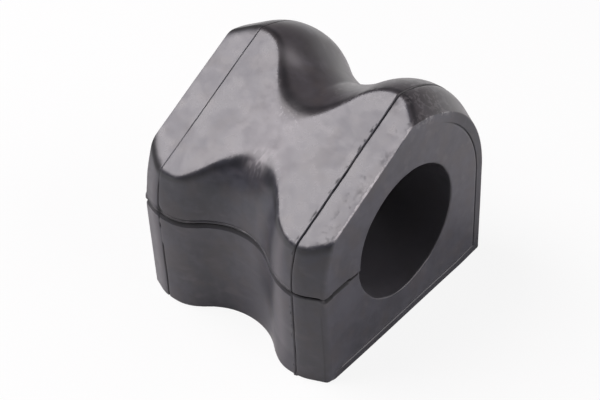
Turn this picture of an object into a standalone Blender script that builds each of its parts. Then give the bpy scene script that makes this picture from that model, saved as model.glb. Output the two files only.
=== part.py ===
# Sway bar bushing: one moulded rubber block around an anti-roll bar.
#
# The bar runs along X through the bore. The block sits on its flat base at z = 0, under the
# bore axis, with the middle of its length at x = 0. The slit that lets the bar in faces -Y.
# Seen along the bore the outline is a D: straight sides up to the bore axis, then a dome.
# Seen from the side it is a spool: a waist for the bracket strap between two swells.
# A slanted flat takes off the dome on the slit's side.

import math

import bmesh
import bpy
from mathutils import Matrix, Vector

MM = 0.001

# Driving dimensions, in millimetres and degrees
BORE_RADIUS = 14.0        # for a 28 mm bar
LENGTH = 46.8             # between the end faces
BASE_WALL = 8.5           # bore to base
WAIST_WALL = 6.8          # bore to the bottom of the strap groove
FLAT_WALL = 6.7           # bore to the slanted flat
SWELL_HEIGHT = 5.8        # swell above the bottom of the strap groove
SWELL_SETBACK = 6.1       # end face to the crest of the swell
CREST_ARC = 6.5           # radius of the swell on its outer side
END_DROP = 2.2            # crest of the swell to the outline of the end face
HOLLOW_SHARE = 0.52       # share of the flank that is hollow, the rest bulges
FLAT_TILT = 28.5          # slanted flat, from level
SHOULDER_RISE = 1.3       # extra fullness of the dome away from the slit
SHOULDER_SPAN = 105.0     # stretch of the dome, from its foot, that is fuller
BORDER_WIDTH = 1.8        # border round each end face
BORDER_FALL = 0.15        # how far the border falls back at the outline
BASE_EDGE = 0.5           # broken edge along the base
SLIT_GAP = 0.35           # thickness of the slit
SLIT_DROP = 0.4           # slit below the bore axis

# Facets
FLANK_STEPS = 16          # rings from the waist to a crest
TAPER_STEPS = 6           # rings from a crest to its end face
DOME_STEPS = 54           # facets over the dome
BORE_STEPS = 80           # facets round the bore

# Sizes that follow
CUT_MARGIN = 5.0
HALF_LENGTH = LENGTH / 2
AXIS_HEIGHT = BORE_RADIUS + BASE_WALL
WAIST_RADIUS = BORE_RADIUS + WAIST_WALL
CREST_RADIUS = WAIST_RADIUS + SWELL_HEIGHT
CREST_PLACE = HALF_LENGTH - SWELL_SETBACK
FLAT_DISTANCE = BORE_RADIUS + FLAT_WALL
CUT_REACH = 2 * CREST_RADIUS + CUT_MARGIN
CUT_LENGTH = LENGTH + 2 * CUT_MARGIN


def flank_radius(place):
    """Radius between waist and crest: a hollow arc that runs into a bulging arc with one slope
    where they meet. place is the distance from the middle of the length."""
    slope = 2 * math.atan(SWELL_HEIGHT / CREST_PLACE)
    both_arcs = CREST_PLACE / math.sin(slope)
    hollow_arc = HOLLOW_SHARE * both_arcs
    bulging_arc = both_arcs - hollow_arc
    if place < hollow_arc * math.sin(slope):
        return WAIST_RADIUS + hollow_arc - math.sqrt(hollow_arc ** 2 - place ** 2)
    return CREST_RADIUS - bulging_arc + math.sqrt(bulging_arc ** 2 - (CREST_PLACE - place) ** 2)


def taper_radius(place):
    """Radius between crest and end face: the crest's outer arc, then the straight line that
    leaves it without a corner and ends END_DROP below the crest."""
    largest_arc = (SWELL_SETBACK ** 2 + END_DROP ** 2) / (2 * END_DROP)
    arc = min(CREST_ARC, largest_arc)
    end_rise = arc - END_DROP
    slope = math.asin(arc / math.hypot(SWELL_SETBACK, end_rise)) - math.atan2(end_rise, SWELL_SETBACK)
    past_crest = place - CREST_PLACE
    if past_crest < arc * math.sin(slope):
        return CREST_RADIUS - arc + math.sqrt(arc ** 2 - past_crest ** 2)
    return CREST_RADIUS - END_DROP + (HALF_LENGTH - place) * math.tan(slope)


def side_radius(x):
    """Distance from the bore axis to the side of the block, x along the bore."""
    place = abs(x)
    if place < CREST_PLACE:
        return flank_radius(place)
    return taper_radius(place)


def shoulder(x, angle):
    """Extra radius of the dome at an angle above the foot on the +Y side. It is a sine squared
    over the span, and a half sine from the waist to each end face."""
    span = math.radians(SHOULDER_SPAN)
    if angle >= span:
        return 0.0
    along = math.sin(math.pi * min(abs(x) / HALF_LENGTH, 1.0))
    return SHOULDER_RISE * along * math.sin(math.pi * angle / span) ** 2


def outline(x, radius, inset):
    """Points of the D in the plane at x, from the base on the +Y side, over the dome, to the base
    on the -Y side. inset draws the whole D in from its edge."""
    side = radius - inset
    points = [(side - BASE_EDGE, inset), (side, inset + BASE_EDGE)]
    for step in range(DOME_STEPS + 1):
        angle = math.pi * step / DOME_STEPS
        reach = side + shoulder(x, angle)
        points.append((reach * math.cos(angle), AXIS_HEIGHT + reach * math.sin(angle)))
    points += [(-side, inset + BASE_EDGE), (BASE_EDGE - side, inset)]
    return [Vector((x, y, z)) * MM for y, z in points]


def stations():
    """Places of the rings along half of the block, from the middle to where the border starts."""
    border_place = HALF_LENGTH - BORDER_FALL
    flank = [CREST_PLACE * step / FLANK_STEPS for step in range(FLANK_STEPS)]
    taper = [CREST_PLACE + (border_place - CREST_PLACE) * step / TAPER_STEPS
             for step in range(TAPER_STEPS + 1)]
    return flank + taper


def block_rings():
    """All outlines from one end face to the other. The first and last are the flats inside the
    borders, drawn in by the border's width."""
    half = stations()
    places = [-x for x in reversed(half[1:])] + half
    rings = [outline(x, side_radius(x), 0.0) for x in places]
    face_radius = side_radius(HALF_LENGTH)
    first = outline(-HALF_LENGTH, face_radius, BORDER_WIDTH)
    last = outline(HALF_LENGTH, face_radius, BORDER_WIDTH)
    return [first] + rings + [last]


def block_mesh():
    """Closed skin over the rings, with an end face at each end."""
    bm = bmesh.new()
    rings = [[bm.verts.new(point) for point in ring] for ring in block_rings()]
    for ring in (rings[0], rings[-1]):
        bm.faces.new(ring)
    for near, far in zip(rings, rings[1:]):
        for i in range(len(near)):
            j = (i + 1) % len(near)
            bm.faces.new((near[i], near[j], far[j], far[i]))
    bmesh.ops.recalc_face_normals(bm, faces=bm.faces)
    mesh = bpy.data.meshes.new("bushing")
    bm.to_mesh(mesh)
    bm.free()
    return mesh


def box_mesh(name, size):
    """Box of the given size in millimetres, centred on its own origin."""
    bm = bmesh.new()
    bmesh.ops.create_cube(bm, size=1.0, matrix=Matrix.Diagonal((*(Vector(size) * MM), 1.0)))
    mesh = bpy.data.meshes.new(name)
    bm.to_mesh(mesh)
    bm.free()
    return mesh


def bore_mesh(name):
    """Round bar along X, longer than the block."""
    bm = bmesh.new()
    bmesh.ops.create_cone(bm, cap_ends=True, segments=BORE_STEPS, radius1=BORE_RADIUS * MM,
                          radius2=BORE_RADIUS * MM, depth=CUT_LENGTH * MM,
                          matrix=Matrix.Rotation(math.pi / 2, 4, "Y"))
    mesh = bpy.data.meshes.new(name)
    bm.to_mesh(mesh)
    bm.free()
    return mesh


def add_object(name, mesh, place=(0, 0, 0), tilt=0.0):
    """Object at a place in millimetres, turned about X by tilt degrees."""
    part = bpy.data.objects.new(name, mesh)
    part.location = Vector(place) * MM
    part.rotation_euler = (math.radians(tilt), 0, 0)
    bpy.context.scene.collection.objects.link(part)
    return part


def cut(part, cutter):
    """Takes the cutter's shape out of the part and keeps the cutter as a wire guide."""
    cutter.hide_render = True
    cutter.display_type = "WIRE"
    modifier = part.modifiers.new(cutter.name, "BOOLEAN")
    modifier.operation = "DIFFERENCE"
    modifier.solver = "EXACT"
    modifier.object = cutter


def add_bore_cutter():
    return add_object("bore_cutter", bore_mesh("bore_cutter"), (0, 0, AXIS_HEIGHT))


def add_flat_cutter():
    """Large box whose lower face is the slanted flat, FLAT_DISTANCE from the bore axis."""
    tilt = math.radians(FLAT_TILT)
    out = FLAT_DISTANCE + CUT_REACH / 2
    place = (0, -math.sin(tilt) * out, AXIS_HEIGHT + math.cos(tilt) * out)
    mesh = box_mesh("flat_cutter", (CUT_LENGTH, 2 * CUT_REACH, CUT_REACH))
    return add_object("flat_cutter", mesh, place, FLAT_TILT)


def add_slit_cutter():
    """Thin level plate from the middle of the bore out past the side, SLIT_DROP below the axis."""
    reach = CREST_RADIUS + CUT_MARGIN
    mesh = box_mesh("slit_cutter", (CUT_LENGTH, reach, SLIT_GAP))
    return add_object("slit_cutter", mesh, (0, -reach / 2, AXIS_HEIGHT - SLIT_DROP))


def rubber():
    """Dark grey moulded rubber with a dull skin."""
    material = bpy.data.materials.new("moulded_rubber")
    material.use_nodes = True
    shader = material.node_tree.nodes["Principled BSDF"]
    shader.inputs["Base Color"].default_value = (0.055, 0.053, 0.058, 1.0)
    shader.inputs["Roughness"].default_value = 0.55
    shader.inputs["Metallic"].default_value = 0.0
    return material


def build():
    for old in list(bpy.data.objects):
        bpy.data.objects.remove(old, do_unlink=True)
    bushing = add_object("bushing", block_mesh())
    bushing.data.materials.append(rubber())
    for cutter in (add_flat_cutter(), add_bore_cutter(), add_slit_cutter()):
        cut(bushing, cutter)
    bushing.data.shade_smooth()
    bushing.data.set_sharp_from_angle(angle=math.radians(30))


build()
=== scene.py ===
# %% [markdown]
# A sway bar bushing, drawn as a lesson in cells.
# The real part is one block of moulded rubber. A steel strap clamps it to a vehicle, and the
# anti-roll bar turns in its bore. Everything that the eye reads here is on one skin: a flat base,
# two swells with a waist between them for the strap, a slanted flat, a slit to let the bar in, and
# the thin lines that the mould's plates leave. So this lesson makes one closed mesh and one
# rubber, and spends its effort on the edges, the lines and the sheen. The packed frame is loaded
# first, and its box is kept, because the drawn block has to fill the same space.

# %% Load the frame
import math
from functools import reduce

import bpy
import numpy as np
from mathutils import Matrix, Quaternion, Vector
from mathutils.geometry import tessellate_polygon


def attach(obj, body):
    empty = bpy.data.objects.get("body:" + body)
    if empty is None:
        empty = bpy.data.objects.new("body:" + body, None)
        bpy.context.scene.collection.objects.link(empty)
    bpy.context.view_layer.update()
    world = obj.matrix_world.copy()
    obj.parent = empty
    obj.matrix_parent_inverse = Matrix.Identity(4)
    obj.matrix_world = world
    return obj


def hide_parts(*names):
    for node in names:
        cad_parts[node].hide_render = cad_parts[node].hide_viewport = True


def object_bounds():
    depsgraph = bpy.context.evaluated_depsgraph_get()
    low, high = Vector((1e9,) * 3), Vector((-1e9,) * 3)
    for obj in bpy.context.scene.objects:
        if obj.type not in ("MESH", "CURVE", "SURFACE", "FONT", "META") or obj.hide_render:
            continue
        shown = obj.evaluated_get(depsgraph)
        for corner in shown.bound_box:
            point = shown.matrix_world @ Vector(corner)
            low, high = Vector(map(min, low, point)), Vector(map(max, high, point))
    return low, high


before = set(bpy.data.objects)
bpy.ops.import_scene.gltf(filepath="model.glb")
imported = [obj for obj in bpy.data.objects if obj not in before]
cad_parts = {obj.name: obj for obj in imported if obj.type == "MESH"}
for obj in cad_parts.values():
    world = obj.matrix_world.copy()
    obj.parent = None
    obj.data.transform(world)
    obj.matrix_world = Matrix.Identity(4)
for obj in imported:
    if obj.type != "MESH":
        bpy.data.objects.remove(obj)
cad_low, cad_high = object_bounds()
print("CAD box, mm:", [round(v * 1000, 2) for v in (*cad_low, *cad_high)])

# %% [markdown]
# The camera comes first, because every later choice is judged through it. A camera could be moved
# by eye until the picture looks right, but the edges of the block give its place exactly: it was
# fitted so that the end face, the bore and the base fall where the photograph shows them. It is
# written as a place, a point that it looks at and a small roll, which are easy to read and change.

# %% Camera
MM = 0.001
CAMERA_PLACE = Vector((159.56, -175.34, 225.29)) * MM
CAMERA_AIM = Vector((-0.70, -3.86, 19.73)) * MM
CAMERA_ROLL = -3.06
CAMERA_LENS = 93.71

camera_data = bpy.data.cameras.new("camera")
camera_data.lens = CAMERA_LENS
camera_data.sensor_width = 36.0
camera_data.clip_start = 0.01
camera = bpy.data.objects.new("camera", camera_data)
level_view = (CAMERA_AIM - CAMERA_PLACE).to_track_quat("-Z", "Y")
camera.location = CAMERA_PLACE
camera.rotation_mode = "QUATERNION"
camera.rotation_quaternion = level_view @ Quaternion((0, 0, 1), math.radians(CAMERA_ROLL))
bpy.context.scene.collection.objects.link(camera)
bpy.context.scene.camera = camera
bpy.context.scene.view_settings.view_transform = "Standard"
looking_down = math.degrees(math.asin((CAMERA_PLACE - CAMERA_AIM).normalized().z))
print("camera looks down by", round(looking_down, 1), "degrees")

# %% [markdown]
# Shader maths is easier to read as a formula than as a drawing of wires. A Wire stands for one
# socket and knows the operators, so that "1 - mask" adds the Math node by itself. The usual other
# way is one line for each node and each link, which buries the idea of a finish under its plumbing.

# %% Wires
class Wire:
    """One output socket of a node tree. The operators add Math nodes and return their result."""

    def __init__(self, graph, socket):
        self.graph = graph
        self.socket = socket

    def maths(self, operation, first, second):
        return self.graph.add("ShaderNodeMath", {"operation": operation}, {0: first, 1: second})

    def __add__(self, other):
        return self.maths("ADD", self, other)

    def __radd__(self, other):
        return self.maths("ADD", other, self)

    def __sub__(self, other):
        return self.maths("SUBTRACT", self, other)

    def __rsub__(self, other):
        return self.maths("SUBTRACT", other, self)

    def __mul__(self, other):
        return self.maths("MULTIPLY", self, other)

    def __rmul__(self, other):
        return self.maths("MULTIPLY", other, self)


print("a wire adds, subtracts and multiplies")

# %% [markdown]
# A Graph adds any other node: its type, its settings, and the values or wires of its sockets. Nodes
# that come back often, such as a colour mix or a noise, get a method each. Blender's node groups
# would save nodes as well, but a method can be read in place and takes its defaults from Python.

# %% Graphs
class Graph:
    """The node tree of a material or of the world, emptied, with one method that adds a node."""

    def __init__(self, owner):
        owner.use_nodes = True
        self.tree = owner.node_tree
        self.tree.nodes.clear()

    def add(self, kind, settings=None, sockets=None, output=0):
        """Adds a node of a kind, sets its settings first, then its sockets, and returns the wire
        of one output."""
        node = self.tree.nodes.new(kind)
        for name, value in (settings or {}).items():
            setattr(node, name, value)
        for name, value in (sockets or {}).items():
            if isinstance(value, Wire):
                self.tree.links.new(value.socket, node.inputs[name])
            else:
                node.inputs[name].default_value = value
        if not node.outputs:
            return None
        return Wire(self, node.outputs[output])

    def mix(self, factor, first, second):
        """Colour between first and second."""
        return self.add("ShaderNodeMix", {"data_type": "RGBA"}, {0: factor, 6: first, 7: second}, 2)

    def stretched(self, place, stretch, turn=(0.0, 0.0, 0.0)):
        """Place turned and then scaled along each axis. A share below 1 draws a pattern out."""
        sockets = {"Vector": place, "Rotation": turn, "Scale": stretch}
        return self.add("ShaderNodeMapping", {}, sockets)

    def noise(self, place, scale, detail=2.0, roughness=0.5):
        """Smooth noise between 0 and 1, with scale in repeats for each metre."""
        sockets = {"Vector": place, "Scale": scale, "Detail": detail, "Roughness": roughness}
        return self.add("ShaderNodeTexNoise", {}, sockets)

    def between(self, value, low, high):
        """0 below low, 1 above high and a soft step between them."""
        settings = {"interpolation_type": "SMOOTHSTEP"}
        return self.add("ShaderNodeMapRange", settings, {0: value, 1: low, 2: high, 3: 0.0, 4: 1.0})

    def stored(self, name):
        """A number stored on the mesh's points."""
        return self.add("ShaderNodeAttribute", {"attribute_name": name}, {}, 2)

    def larger(self, first, second):
        """The larger of two values."""
        return self.add("ShaderNodeMath", {"operation": "MAXIMUM"}, {0: first, 1: second})


print("a graph adds", sorted(name for name in vars(Graph) if not name.startswith("_")))

# %% [markdown]
# The photograph is a studio shot. Its slanted flat is more than twice as bright as its sides, and
# that can't come from the rubber's colour, which is one and the same all over. It is the soft
# reflection of a large softbox up on the left. The end face has a light of its own, a second box
# low on the right, and the bright rims of the domes are a pale wall behind the block, seen at a
# grazing angle. Each light was tried alone and weighed against the photograph, which shows what
# each one is for. One lamp with more fill would light the block too, but would flatten it.
#
# The pale table is mostly seen as plain white: camera rays take about seven parts of white to one
# part of the lit table, so that the shadow stays but is light, as in a product photograph.
# Reflections do the same further out. Close to the block they see the table as it is lit, with its
# shadow.

# %% Floor
FLOOR_SIZE = 6.0
FLOOR_GREY = 0.80
FLOOR_WHITE_SHARE = 0.88
SHADOW_REACH = (0.06, 0.18)

scene = bpy.context.scene


def ray_kinds(graph):
    """Camera and transmission rays as one wire, 0 or 1, and glossy rays as another."""
    path = graph.add("ShaderNodeLightPath")
    outputs = path.socket.node.outputs
    through = Wire(graph, outputs["Is Transmission Ray"])
    return path + through, Wire(graph, outputs["Is Glossy Ray"])


def add_floor():
    """Square sheet at z = 0, far wider than the view. The share of white that a ray sees is a
    constant for camera rays, and for reflections it grows with the distance from the block."""
    half = FLOOR_SIZE / 2
    corners = [(-half, -half, 0), (half, -half, 0), (half, half, 0), (-half, half, 0)]
    mesh = bpy.data.meshes.new("floor")
    mesh.from_pydata(corners, [], [(0, 1, 2, 3)])
    floor = bpy.data.objects.new("floor", mesh)
    scene.collection.objects.link(floor)
    material = bpy.data.materials.new("pale_table")
    graph = Graph(material)
    grey = (FLOOR_GREY, FLOOR_GREY, FLOOR_GREY, 1.0)
    matt = graph.add("ShaderNodeBsdfDiffuse", {}, {"Color": grey})
    white = graph.add("ShaderNodeEmission", {}, {"Strength": 1.0})
    straight, glossy = ray_kinds(graph)
    place = graph.add("ShaderNodeTexCoord", output=3)
    distance = graph.add("ShaderNodeVectorMath", {"operation": "LENGTH"}, {0: place}, 1)
    share = (straight + glossy * graph.between(distance, *SHADOW_REACH)) * FLOOR_WHITE_SHARE
    both = graph.add("ShaderNodeMixShader", {}, {0: share, 1: matt, 2: white})
    graph.add("ShaderNodeOutputMaterial", {}, {"Surface": both})
    mesh.materials.append(material)
    return floor


pale_floor = add_floor()
print("floor is", [round(size, 2) for size in pale_floor.dimensions], "m")

# %% [markdown]
# The world is the room round the block: dim, with the pale wall behind it as a glow that fades
# upwards. A real wall mesh would need its own light and could get into the view. A direction is
# enough here, because the camera never sees the wall. Only the rubber and the table do.

# %% World
WALL_DIRECTION = (0.5, 0.866, 0.0)
WALL_GLOW = 1.45
WALL_TOP = (0.05, 0.5)
DIM_ROOM = 0.04
HORIZON = (0.0, 0.06)


def add_world():
    """A dim room with a pale wall behind the block. The wall's glow is the squared cosine between
    the direction and the wall, and fades towards its top. Camera rays see white, and so do
    reflections below the horizon."""
    world = bpy.data.worlds.new("studio")
    scene.world = world
    graph = Graph(world)
    direction = graph.add("ShaderNodeTexCoord", output=0)
    height = graph.add("ShaderNodeSeparateXYZ", {}, {0: direction}, 2)
    both = {0: direction, 1: WALL_DIRECTION}
    cosine = graph.add("ShaderNodeVectorMath", {"operation": "DOT_PRODUCT"}, both, 1)
    towards = graph.larger(cosine, 0.0)
    glow = towards * towards * (1 - graph.between(height, *WALL_TOP)) * WALL_GLOW + DIM_ROOM
    room = graph.add("ShaderNodeBackground", {}, {"Strength": glow})
    white = graph.add("ShaderNodeBackground", {}, {"Strength": 1.0})
    straight, glossy = ray_kinds(graph)
    white_share = straight + glossy * (1 - graph.between(height, *HORIZON))
    surface = graph.add("ShaderNodeMixShader", {}, {0: white_share, 1: room, 2: white})
    graph.add("ShaderNodeOutputWorld", {}, {"Surface": surface})
    return world


studio = add_world()
print("the world has", len(studio.node_tree.nodes), "nodes")

# %% [markdown]
# A softbox is a lamp behind a white cloth, so it is a square area lamp here, and its soft
# reflection has its true size. A point lamp would give a hard spot. The brightness of the box's
# face is what the photograph shows, so that is what is set, and the power follows from it.

# %% Softboxes
BOX_AIM = Vector((0.0, -4.0, 36.0)) * MM
BOX_TINT = (1.0, 0.945, 0.97)

# Each box: direction from the block, distance and width in metres, brightness in times white.
LEFT_BOX = ((-0.52, -0.27, 0.81), 0.55, 0.42, 7.1)
RIGHT_BOX = ((0.80, 0.35, 0.45), 0.60, 0.50, 2.65)


def add_softbox(name, direction, distance, size, brightness):
    """Square lamp that stands off in a direction and faces the block. Brightness is how many times
    white its face shines, and its power is that times pi and its area."""
    lamp = bpy.data.lights.new(name, "AREA")
    lamp.shape = "SQUARE"
    lamp.size = size
    lamp.color = BOX_TINT
    lamp.energy = brightness * math.pi * size ** 2
    away = Vector(direction).normalized()
    holder = bpy.data.objects.new(name, lamp)
    holder.location = BOX_AIM + away * distance
    holder.rotation_mode = "QUATERNION"
    holder.rotation_quaternion = (-away).to_track_quat("-Z", "Y")
    scene.collection.objects.link(holder)
    return holder


left_light = add_softbox("softbox_left", *LEFT_BOX)
right_light = add_softbox("softbox_right", *RIGHT_BOX)
watts = [round(light.data.energy, 2) for light in (left_light, right_light)]
print("the two softboxes use", watts, "watts")

# %% [markdown]
# A few small curves come back in every later step. A bell marks a place and fades on both sides. A
# ramp goes evenly from 0 to 1, and a rise does the same with a smooth start and end. A fade is a
# rise turned over. A table is read in straight lines between its entries. Each could be written
# out where it is used, but a name says what a curve is for, and all of them take whole arrays.

# %% Bell, ramp, rise, fade and table
def bell(offset, width):
    """1 in the middle and less on both sides: e to the minus square of offset over width."""
    return np.exp(-((offset / width) ** 2))


def ramp(value, low, high):
    """0 below low, 1 above high, and the share of the way between them."""
    return np.clip((value - low) / (high - low), 0, 1)


def rise_between(value, low, high):
    """The ramp made smooth: three times its square less twice its cube."""
    step = ramp(value, low, high)
    return step * step * (3 - 2 * step)


def fade(value, low, high):
    """1 below low, 0 above high: one less the rise between them."""
    return 1 - rise_between(value, low, high)


def read_table(table, places):
    """The table's value at each place, on straight lines between its entries."""
    return np.interp(places, list(table), list(table.values()))


print("a quarter of the way up, a rise has reached", float(rise_between(0.25, 0, 1)))

# %% [markdown]
# Now the sizes. The block's length and its fattest radius are read from the frame, and the rest
# are the same driving sizes as in the solid: the walls around the bore, the height of the swells
# and where they crest. All of them are in millimetres, and the mesh turns to metres only at the
# end. Nothing is measured from a mesh, so a changed size would carry through every edge.

# %% Driving sizes
HALF_LENGTH = cad_high.x / MM
CREST_RADIUS = cad_high.y / MM
BORE_RADIUS = 14.0
BASE_WALL = 8.5
FLAT_WALL = 6.7
SWELL_HEIGHT = 5.8
SWELL_SETBACK = 6.1
CREST_ARC = 6.5
END_DROP = 2.2
HOLLOW_SHARE = 0.52
FLAT_TILT = 28.5
SHOULDER_RISE = 1.3
SHOULDER_SPAN = 105.0
SLIT_GAP = 0.16
SLIT_DROP = 0.4

# Fullness in mm, with places in mm along the block and turns in degrees round it.
FAR_FULLNESS = {
    0: 0.0, 45: 0.0, 92: 0.85, 118: 0.85, 136: -0.3, 172: -0.3, 184: 0.3, 266: 0.3, 274: 0.0, 360: 0.0,
}
NEAR_FULLNESS = 0.2
WAIST_FULLNESS = 0.38
WAIST_FULL_REACH = 9.5
DOME_FULL_SINE = 0.7
SLOPE_FULLNESS = 0.35
SLOPE_PLACE = -9.5
SLOPE_REACH = 3.5
SLOPE_END_TURNS = (57, 82)
FOOT_FULLNESS = 0.5
FOOT_PLACE = 13.0
FOOT_REACH = 4.0
FOOT_START_TURNS = (213, 220)
EDGE_FULLNESS = 0.45
EDGE_PLACE = -13.3
EDGE_REACH = 2.2
EDGE_START_TURNS = (140, 146)
EDGE_END_TURNS = (158, 164)

AXIS_HEIGHT = BORE_RADIUS + BASE_WALL
WAIST_RADIUS = CREST_RADIUS - SWELL_HEIGHT
CREST_PLACE = HALF_LENGTH - SWELL_SETBACK
FLAT_DISTANCE = BORE_RADIUS + FLAT_WALL
print("waist", round(2 * WAIST_RADIUS, 1), "mm wide, crests", round(2 * CREST_RADIUS, 1), "mm wide")

# %% [markdown]
# Seen along the bore the outline is a D, so the skin is given by its distance from the bore axis:
# one number for each place x along the bore and each turn round it. Turns are in degrees from the
# +Y side, over the top at 90, past the slit at 180 and the base at 270. The distance is the
# smallest of three: the D of sides and dome, the slanted flat, and the base. Boolean cuts would
# give the same planes with hard edges and a poor mesh. A smooth minimum instead rounds each edge
# as the mould does, and leaves a tidy grid.

# %% Distance to the side
def side_radius(x):
    """Distance from the axis to the side. From the waist a hollow arc rises and runs into a
    bulging arc with the same slope. Past the crest a small arc turns down into a straight taper.
    Each arc is its centre plus or minus the root of its radius squared less the run squared."""
    place = np.minimum(np.abs(x), HALF_LENGTH)
    slope = 2 * math.atan(SWELL_HEIGHT / CREST_PLACE)
    both_arcs = CREST_PLACE / math.sin(slope)
    hollow = HOLLOW_SHARE * both_arcs
    bulge = both_arcs - hollow
    past = place - CREST_PLACE
    rise = CREST_ARC - END_DROP
    fall = math.asin(CREST_ARC / math.hypot(SWELL_SETBACK, rise)) - math.atan2(rise, SWELL_SETBACK)
    in_hollow = WAIST_RADIUS + hollow - np.sqrt(np.maximum(hollow ** 2 - place ** 2, 0))
    in_bulge = CREST_RADIUS - bulge + np.sqrt(np.maximum(bulge ** 2 - past ** 2, 0))
    in_crest = CREST_RADIUS - CREST_ARC + np.sqrt(np.maximum(CREST_ARC ** 2 - past ** 2, 0))
    in_taper = CREST_RADIUS - END_DROP + (HALF_LENGTH - place) * math.tan(fall)
    stretches = [place < hollow * math.sin(slope), past < 0, past < CREST_ARC * math.sin(fall)]
    return np.select(stretches, [in_hollow, in_bulge, in_crest], in_taper)


print("the end is", round(float(2 * side_radius(HALF_LENGTH)), 1), "mm wide")

# %% [markdown]
# The moulding is a little fuller here and there than its plain form, and the photograph's outline
# shows where. Each such place is one more term that is added to the side. Pulling points by hand
# would do it too, but could not be repeated or taken back one by one.

# %% Shoulder and fullness
def shoulder(x, turn):
    """Extra fullness of the dome on its +Y side: a sine squared over its span of turns, times a
    half sine from the waist to the end face."""
    turn = np.mod(turn, 360.0)
    over = np.sin(np.pi * ramp(turn, 0, SHOULDER_SPAN)) ** 2
    along = np.sin(np.pi * np.minimum(np.abs(x) / HALF_LENGTH, 1.0))
    return SHOULDER_RISE * over * along


def fullness(x, turn):
    """Small extra radius where the moulding is fuller than its plain form. Past the crests it grows
    evenly: by a table of turns at the far end, and towards +Y by the cosine of the turn at the near
    end. Bells along the block add to the dome over the waist and before the far crest, and to the
    side under the flat's far part. Low on the slit's side, two more bells make the foot that stands
    out a little just above the base."""
    turn = np.mod(turn, 360)
    angle = np.radians(turn)
    past_crest = ramp(np.abs(x), CREST_PLACE, HALF_LENGTH)
    at_near_end = NEAR_FULLNESS * np.maximum(np.cos(angle), 0)
    ends = past_crest * np.where(x < 0, read_table(FAR_FULLNESS, turn), at_near_end)
    on_dome = ramp(np.sin(angle), 0, DOME_FULL_SINE)
    waist = WAIST_FULLNESS * bell(x, WAIST_FULL_REACH) * on_dome
    slope = SLOPE_FULLNESS * bell(x - SLOPE_PLACE, SLOPE_REACH) * on_dome
    slope = slope * (1 - ramp(turn, *SLOPE_END_TURNS))
    foot = FOOT_FULLNESS * bell(np.abs(x) - FOOT_PLACE, FOOT_REACH)
    foot = foot * ramp(turn, *FOOT_START_TURNS) * (turn < 270)
    edge = EDGE_FULLNESS * bell(x - EDGE_PLACE, EDGE_REACH)
    edge = edge * ramp(turn, *EDGE_START_TURNS) * (1 - ramp(turn, *EDGE_END_TURNS))
    return ends + waist + slope + foot + edge


print("the dome is", round(float(fullness(0.0, 90)), 2), "mm fuller over the waist")

# %% [markdown]
# Now the three distances meet. The flat and the base are planes, and a plane's distance along any
# turn is a short formula, so no plane has to be cut. The soft minimum decides which of them is
# nearest and rounds the bend between them.

# %% Distance from the bore axis
FLAT_TURN = 90 + FLAT_TILT
FLAT_SOFTNESS = 0.45
BASE_SOFTNESS = 0.5
LEAST_SHARE = 0.05


def soft_min(first, second, softness):
    """Smaller of the two, lowered where they differ by less than softness. The drop is the
    overlap squared over four softnesses, so the corner becomes a smooth bend."""
    overlap = np.maximum(softness - np.abs(first - second), 0.0)
    return np.minimum(first, second) - overlap ** 2 / (4 * softness)


def towards_flat(turn):
    """Cosine of the angle between a turn and the flat's own direction, kept above 0."""
    return np.maximum(np.cos(np.radians(turn - FLAT_TURN)), LEAST_SHARE)


def skin_radius(x, turn, inset=0.0):
    """Distance from the axis to the skin, or to the skin drawn in by inset. It is the soft minimum
    of the body, the flat and the base. A plane's distance is its own least distance over the
    cosine of the angle between the turn and the plane's direction."""
    angle = np.radians(turn)
    side = side_radius(x) + fullness(x, turn) - inset
    dome = side + shoulder(x, turn)
    wall = side / np.maximum(np.abs(np.cos(angle)), LEAST_SHARE)
    body = np.where(np.sin(angle) >= 0, dome, wall)
    flat = (FLAT_DISTANCE - inset) / towards_flat(turn)
    base = (AXIS_HEIGHT - inset) / np.maximum(-np.sin(angle), LEAST_SHARE)
    return soft_min(soft_min(body, flat, FLAT_SOFTNESS), base, BASE_SOFTNESS)


print("flat is", round(float(skin_radius(0.0, FLAT_TURN)), 2), "mm from the axis at the waist")

# %% [markdown]
# A grid is only as good as where its lines fall. The skin is swept round the bore, from the slit's
# lower lip past the base, the closed side, the dome and the flat to the upper lip. Even steps
# would waste points on the plain sides and starve the edges. So the steps follow a table of wanted
# spacings: the running sum of one over the spacing is divided evenly, which packs the lines where
# the outline turns fast. Close to the slit the lines are set by height instead, so that the lips
# and the bead of flash beside them run straight along the block.

# %% Turns round the bore
REFERENCE_RADIUS = 22.0
LIP_STEPS = np.array([0.0, 0.02, 0.05, 0.09, 0.14, 0.20, 0.30])
LOWER_STEPS = [0.4, 0.5, 0.6, 0.7, 0.78, 0.84, 0.89, 0.94, 1.0, 1.1, 1.3, 1.6, 2.0]
UPPER_STEPS = [*np.arange(0.37, 1.2, 0.07), 1.3, 1.5, 1.8, 2.2]
LOWER_HEIGHTS = np.concatenate([LIP_STEPS, LOWER_STEPS])
UPPER_HEIGHTS = np.concatenate([LIP_STEPS, UPPER_STEPS])
STRAIGHT_REACH = 2.7
TURNING_REACH = 9.0
FINE_TURNS = 4000
SPACINGS = {
    187.0: 0.5, 192.0: 1.0, 214.0: 0.9, 218.0: 0.34, 229.0: 0.34, 236.0: 1.5, 302.0: 1.5,
    310.0: 0.34, 321.0: 0.34, 326.0: 1.0, 430.0: 1.0, 438.0: 0.5, 520.0: 0.5, 530.0: 0.8, 534.0: 0.5,
}


def spread(first, last):
    """Turns from first to last, spaced as the table wants: even steps of the running sum of one
    over the wanted spacing."""
    fine = np.linspace(first, last, FINE_TURNS)
    density = 1 / read_table(SPACINGS, fine)
    sums = np.cumsum((density[1:] + density[:-1]) / 2) * (fine[1] - fine[0])
    running = np.concatenate([[0], sums])
    even = np.linspace(0, running[-1], int(round(running[-1])) + 1)
    return np.interp(even, running, fine)


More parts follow.
